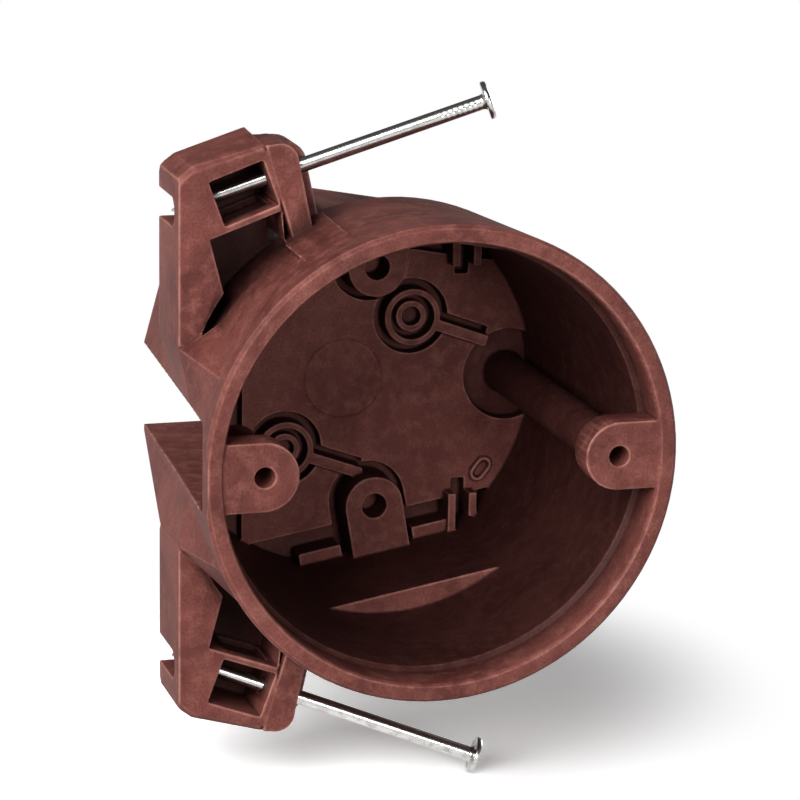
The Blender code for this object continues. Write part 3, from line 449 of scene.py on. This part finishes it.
def nail(name, node, material, settings):
    """A turned nail: radius against distance from the tip, carried round the nail's axis.
    Grip marks press two opposite sides in by depth * (1 - cos(2 pi s / pitch)) / 2 * cos(angle)^4
    under the head. The point is cut to four flats: its radius is divided by the larger of |cos| and
    |sin| of the angle, and never passes that of the wire."""
    start, axis, length, shank, head = nail_axis(node)
    crown = settings.head_crown
    under = length - NAIL_HEAD_THICKNESS
    turn = np.linspace(0, 2 * np.pi, NAIL_SIDES, endpoint=False)
    # rows of distance from the tip and radius: the point, the shank, then the neck and the head
    point = np.array([(0, 0), (0.05 * MM, 0.12 * shank), (NAIL_POINT_LENGTH, shank), (5 * MM, shank)])
    shaft = np.arange(5.2 * MM, under - 0.9 * MM, 0.14 * MM)
    body = np.column_stack((shaft, np.full(shaft.shape, shank)))
    top = np.array([
        (under - 0.7 * MM, shank), (under - 0.25 * MM, shank + 0.12 * MM), (under, shank + 0.5 * MM),
        (under + 0.02 * MM, head - 0.35 * MM), (under + 0.12 * MM, head - 0.08 * MM),
        (under + 0.35 * MM, head), (length - crown - 0.4 * MM, head),
        (length - crown - 0.15 * MM, head - 0.1 * MM), (length - crown, head - 0.4 * MM),
        (length - 0.4 * crown, 0.6 * head), (length, 0)])
    along, radius = np.concatenate((point, body, top)).T
    grip_end = under - 1.2 * MM
    grip_start = grip_end - settings.grip_marks * settings.grip_pitch
    inside = (along > grip_start) & (along < grip_end)
    wave = 0.5 - 0.5 * np.cos(2 * np.pi * (along - grip_start) / settings.grip_pitch)
    press = np.outer(inside * wave, np.cos(turn) ** 4) * settings.grip_depth
    square = np.clip(1 / np.maximum(np.abs(np.cos(turn)), np.abs(np.sin(turn))), 1, 1.3)
    cut = np.where(along[:, None] < 4.8 * MM, np.minimum(radius[:, None] * square, shank), radius[:, None])
    rings = np.maximum(cut - press, 0)[1:-1]
    side = np.cross(axis, (0, 0, 1))
    side /= np.linalg.norm(side)
    other = np.cross(axis, side)
    spoke = np.outer(np.cos(turn), side) + np.outer(np.sin(turn), other)
    skin = start + along[1:-1, None, None] * axis + rings[:, :, None] * spoke
    points = np.concatenate((skin.reshape(-1, 3), [start, start + axis * length]))
    rows, columns = len(rings), len(turn)
    low = np.arange(rows - 1)[:, None] * columns + np.arange(columns)
    beside = np.arange(rows - 1)[:, None] * columns + (np.arange(columns) + 1) % columns
    quads = np.stack((low, beside, beside + columns, low + columns), -1).reshape(-1, 4)
    tip, cap = rows * columns, rows * columns + 1
    step = np.arange(columns)
    after = (step + 1) % columns
    last = (rows - 1) * columns
    fans = np.concatenate((np.stack((np.full(columns, tip), after, step), -1),
                           np.stack((np.full(columns, cap), last + step, last + after), -1)))
    made = mesh_object(name, points, quads.tolist() + fans.tolist(), material)
    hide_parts(node)
    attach(made, "root")
    return made


class OUTLETBOX_OT_housing(bpy.types.Operator):
    """Make the moulded housing over its CAD node"""

    bl_idname = "outlet_box.housing"
    bl_label = "Moulded housing"

    def execute(self, context):
        housing(context.scene.outlet_box_housing)
        return {"FINISHED"}


class OUTLETBOX_OT_nails(bpy.types.Operator):
    """Finish the two captive nails in bright drawn steel"""

    bl_idname = "outlet_box.nails"
    bl_label = "Captive nails"

    def execute(self, context):
        settings = context.scene.outlet_box_nails
        steel = drawn_steel(settings)
        nail("upper_nail", "nail_upper", steel, settings)
        nail("lower_nail", "nail_lower", steel, settings)
        return {"FINISHED"}


def area_light(name, place, target, size, power, colour=(1, 1, 1)):
    """A round soft light at place, facing target; power in watts."""
    lamp = bpy.data.lights.new(name, "AREA")
    lamp.shape = "DISK"
    lamp.size = size
    lamp.energy = power
    lamp.color = colour
    made = bpy.data.objects.new(name, lamp)
    made.location = place
    made.rotation_mode = "QUATERNION"
    made.rotation_quaternion = (Vector(target) - Vector(place)).to_track_quat("-Z", "Y")
    bpy.context.scene.collection.objects.link(made)
    return made


def photo_camera():
    """Camera that was fitted to the rim, the two screw holes and the nail heads of the photograph."""
    turn, rise, roll = (math.radians(v) for v in (16.45, 13.95, 0.9))
    distance, pixels = 0.650, 3447
    aside, below = 0.00885, -0.01266
    back = Vector((-math.sin(turn) * math.cos(rise), -math.cos(turn) * math.cos(rise), math.sin(rise)))
    right = Vector((math.cos(turn), -math.sin(turn), 0))
    up = back.cross(right)
    right_rolled = math.cos(roll) * right + math.sin(roll) * up
    up_rolled = -math.sin(roll) * right + math.cos(roll) * up
    place = back * distance - aside * right - below * up + Vector((0, -76 * MM, 0))
    data = bpy.data.cameras.new("photo_camera")
    data.sensor_width = 36
    data.lens = pixels / 800 * 36
    data.clip_start, data.clip_end = 0.01, 10
    made = bpy.data.objects.new("photo_camera", data)
    made.matrix_world = Matrix((
        (right_rolled.x, up_rolled.x, back.x, place.x),
        (right_rolled.y, up_rolled.y, back.y, place.y),
        (right_rolled.z, up_rolled.z, back.z, place.z),
        (0, 0, 0, 1)))
    bpy.context.scene.collection.objects.link(made)
    bpy.context.scene.camera = made
    return made


def studio_world(ambient):
    """White behind the box to the camera and, up to head height, in reflections; a dark ceiling
    over that for reflections; faint even light for everything else."""
    world = bpy.data.worlds.new("studio")
    bpy.context.scene.world = world
    world.use_nodes = True
    tree = world.node_tree
    tree.nodes.clear()
    path = add_node(tree, "ShaderNodeLightPath")
    seen = add_node(tree, "ShaderNodeMath", {"operation": "MAXIMUM"},
                    {0: path.outputs["Is Camera Ray"], 1: path.outputs["Is Transmission Ray"]}).outputs[0]
    direction = add_node(tree, "ShaderNodeTexCoord").outputs["Generated"]
    height = add_node(tree, "ShaderNodeSeparateXYZ", None, {"Vector": direction}).outputs["Z"]
    backdrop = add_node(tree, "ShaderNodeMapRange",
                        {"From Min": 0.15, "From Max": 0.45, "To Min": 0.3, "To Max": 0.03},
                        {"Value": height}).outputs["Result"]
    shown = add_node(tree, "ShaderNodeMath", {"operation": "MULTIPLY"},
                     {0: path.outputs["Is Glossy Ray"], 1: backdrop}).outputs[0]
    bright = add_node(tree, "ShaderNodeMath", {"operation": "MAXIMUM"}, {0: seen, 1: shown}).outputs[0]
    strength = add_node(tree, "ShaderNodeMath", {"operation": "MAXIMUM", 1: ambient}, {0: bright}).outputs[0]
    light = add_node(tree, "ShaderNodeBackground", {"Color": (1, 1, 1, 1)}, {"Strength": strength})
    add_node(tree, "ShaderNodeOutputWorld", None, {"Surface": light.outputs[0]})


class OUTLETBOX_OT_stage(bpy.types.Operator):
    """Set the pale floor, the soft studio lights and the camera"""

    bl_idname = "outlet_box.stage"
    bl_label = "Stage, lights and camera"

    def execute(self, context):
        settings = context.scene.outlet_box_stage
        context.scene.view_settings.view_transform = "Standard"
        low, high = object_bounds()
        corners = np.array([(x * CARD_REACH, y * CARD_REACH, low.z)
                            for x, y in ((-1, -1), (1, -1), (1, 1), (-1, 1))])
        floor = mesh_object("floor", corners, [(0, 1, 2, 3)], pale_floor(settings))
        floor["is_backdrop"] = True
        centre = (low + high) / 2
        area_light("key", centre + LIGHT_DISTANCE * Vector((-0.68, -0.58, 0.50)), centre, 1.2, 26 * settings.key_power)
        area_light("fill", centre + Vector((0.12, -1.4, 0.22)), centre, 0.4, 5.5 * settings.fill_power)
        area_light("back", centre + BACK_DISTANCE * Vector((0.85, 0.50, 0.20)), centre, 0.9, 9 * settings.back_power)
        studio_world(settings.ambient)
        photo_camera()
        return {"FINISHED"}


class OUTLETBOX_PT_panel(bpy.types.Panel):
    """Lists the pieces of the outlet box and their settings"""

    bl_idname = "OUTLETBOX_PT_panel"
    bl_label = "Outlet Box"
    bl_space_type = "VIEW_3D"
    bl_region_type = "UI"
    bl_category = "Outlet Box"

    def draw(self, context):
        scene = context.scene
        for operator, settings in STEPS:
            column = self.layout.column(align=True)
            column.operator(operator.bl_idname)
            group = getattr(scene, settings)
            for name in group.bl_rna.properties.keys():
                if name not in ("rna_type", "name"):
                    column.prop(group, name)


STEPS = (
    (OUTLETBOX_OT_housing, "outlet_box_housing"),
    (OUTLETBOX_OT_nails, "outlet_box_nails"),
    (OUTLETBOX_OT_stage, "outlet_box_stage"),
)
GROUPS = (
    (HousingSettings, "outlet_box_housing"),
    (NailSettings, "outlet_box_nails"),
    (StageSettings, "outlet_box_stage"),
)


def register():
    for group, name in GROUPS:
        bpy.utils.register_class(group)
        setattr(bpy.types.Scene, name, PointerProperty(type=group))
    for operator, _ in STEPS:
        bpy.utils.register_class(operator)
    bpy.utils.register_class(OUTLETBOX_PT_panel)


def unregister():
    bpy.utils.unregister_class(OUTLETBOX_PT_panel)
    for operator, _ in reversed(STEPS):
        bpy.utils.unregister_class(operator)
    for group, name in reversed(GROUPS):
        delattr(bpy.types.Scene, name)
        bpy.utils.unregister_class(group)


def main():
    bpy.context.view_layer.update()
    register()
    bpy.ops.outlet_box.housing()
    bpy.ops.outlet_box.nails()
    bpy.ops.outlet_box.stage()


if __name__ == "__main__":
    main()
